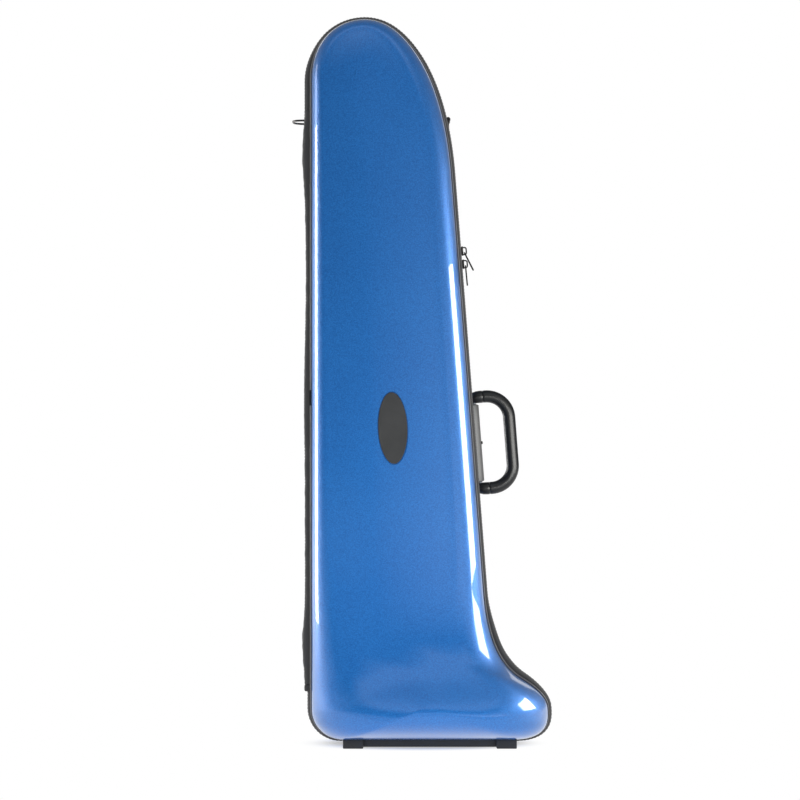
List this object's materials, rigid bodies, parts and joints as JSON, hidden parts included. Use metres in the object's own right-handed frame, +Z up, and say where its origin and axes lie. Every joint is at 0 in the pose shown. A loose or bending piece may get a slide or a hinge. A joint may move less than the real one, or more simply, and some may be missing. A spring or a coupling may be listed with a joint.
{
  "type": "trombone case",
  "caption": "Upright hard trombone case in two flared blue shells, closed by a zip and a textile spine, with a swinging handle, strap rings, foot rails and shaped foam linings.",
  "frame": {"origin": "centre of the bounding box on the floor that the feet stand on", "axes": "+Z up along the case, +X towards the handle and zip, +Y towards the back shell, -Y towards the lid that the picture shows"},
  "size_m": [0.3244, 0.2414, 0.9023],
  "materials": {
    "shell_paint": "metallic flake blue under a clear gloss coat",
    "rubber": "matt black",
    "piping": "satin grey",
    "textile": "dark grey woven",
    "zip_nylon": "satin black",
    "dark_metal": "dark bronze plated",
    "grey_bar": "satin grey",
    "steel": "bright zinc",
    "grip_rubber": "smooth satin black",
    "foot_plastic": "matt dark grey",
    "foam_plush": "short-pile lining over foam",
    "badge": "fine satin dark grey"
  },
  "bodies": {
    "back_half": {"back_shell": "shell_paint", "back_profile": "rubber", "back_piping": "piping", "zip_tape_back": "textile", "zip_coil_back": "zip_nylon", "spine_leaf_back": "textile", "back_foam_bed": "foam_plush", "spine_hem_back": "textile", "slide_strap": "textile", "bell_strap": "textile", "foot_rail_back": "foot_plastic", "foot_screw_back_1": "steel", "foot_screw_back_2": "steel", "handle_base_bar": "grey_bar", "handle_backing_plate": "steel", "handle_stud": "dark_metal", "handle_bolt_lower": "steel", "handle_bolt_upper": "steel", "handle_pin_lower": "steel", "handle_pin_upper": "steel", "ring_tab_left": "textile", "ring_tab_right": "textile", "ring_rivet_left_upper": "dark_metal", "ring_rivet_left_lower": "dark_metal", "ring_rivet_right_upper": "dark_metal", "ring_rivet_right_lower": "dark_metal"},
    "lid": {"front_shell": "shell_paint", "front_profile": "rubber", "front_piping": "piping", "zip_tape_front": "textile", "zip_coil_front": "zip_nylon", "spine_leaf_front": "textile", "lid_foam": "foam_plush", "spine_hem_front": "textile", "piping_clip": "dark_metal", "badge_plate": "badge", "foot_rail_front": "foot_plastic", "foot_screw_front_1": "steel", "foot_screw_front_2": "steel"},
    "handle": {"handle_end_lower": "rubber", "handle_end_upper": "rubber", "handle_core": "steel", "handle_grip": "grip_rubber"},
    "slider_upper": {"zip_slider_upper": "dark_metal"},
    "slider_lower": {"zip_slider_lower": "dark_metal"},
    "tab_upper": {"pull_tab_upper": "dark_metal"},
    "tab_lower": {"pull_tab_lower": "dark_metal"},
    "ring_left": {"d_ring_left": "dark_metal"},
    "ring_right": {"d_ring_right": "dark_metal"}
  },
  "joints": [
    {"name": "lid_hinge", "type": "hinge", "parent": "back_half", "child": "lid", "pos_m": [-0.14794, 0, 0.43], "axis": [0, 0, -1], "range_deg": [0, 170]},
    {"name": "handle_swing", "type": "hinge", "parent": "back_half", "child": "handle", "pos_m": [0.07097, 0.032, 0.37264], "axis": [-0.0767, 0, 0.9971], "range_deg": [-60, 80]},
    {"name": "slider_upper_travel", "type": "slide", "parent": "back_half", "child": "slider_upper", "axis": [-0.0767, 0, 0.9971], "range_m": [0, 0.06]},
    {"name": "slider_lower_travel", "type": "slide", "parent": "back_half", "child": "slider_lower", "axis": [0.0767, 0, -0.9971], "range_m": [0, 0.385]},
    {"name": "tab_upper_swing", "type": "hinge", "parent": "slider_upper", "child": "tab_upper", "pos_m": [0.05383, 0, 0.60984], "axis": [0, -1, 0], "range_deg": [0, 85]},
    {"name": "tab_lower_swing", "type": "hinge", "parent": "slider_lower", "child": "tab_lower", "pos_m": [0.05508, 0, 0.59354], "axis": [0, -1, 0], "range_deg": [0, 36]},
    {"name": "ring_left_swing", "type": "hinge", "parent": "back_half", "child": "ring_left", "pos_m": [-0.14394, 0.0365, 0.777], "axis": [0, 1, 0], "range_deg": [-85, 85]},
    {"name": "ring_right_swing", "type": "hinge", "parent": "back_half", "child": "ring_right", "pos_m": [0.03386, 0.0365, 0.77888], "axis": [0, -1, 0], "range_deg": [0, 150]}
  ]
}
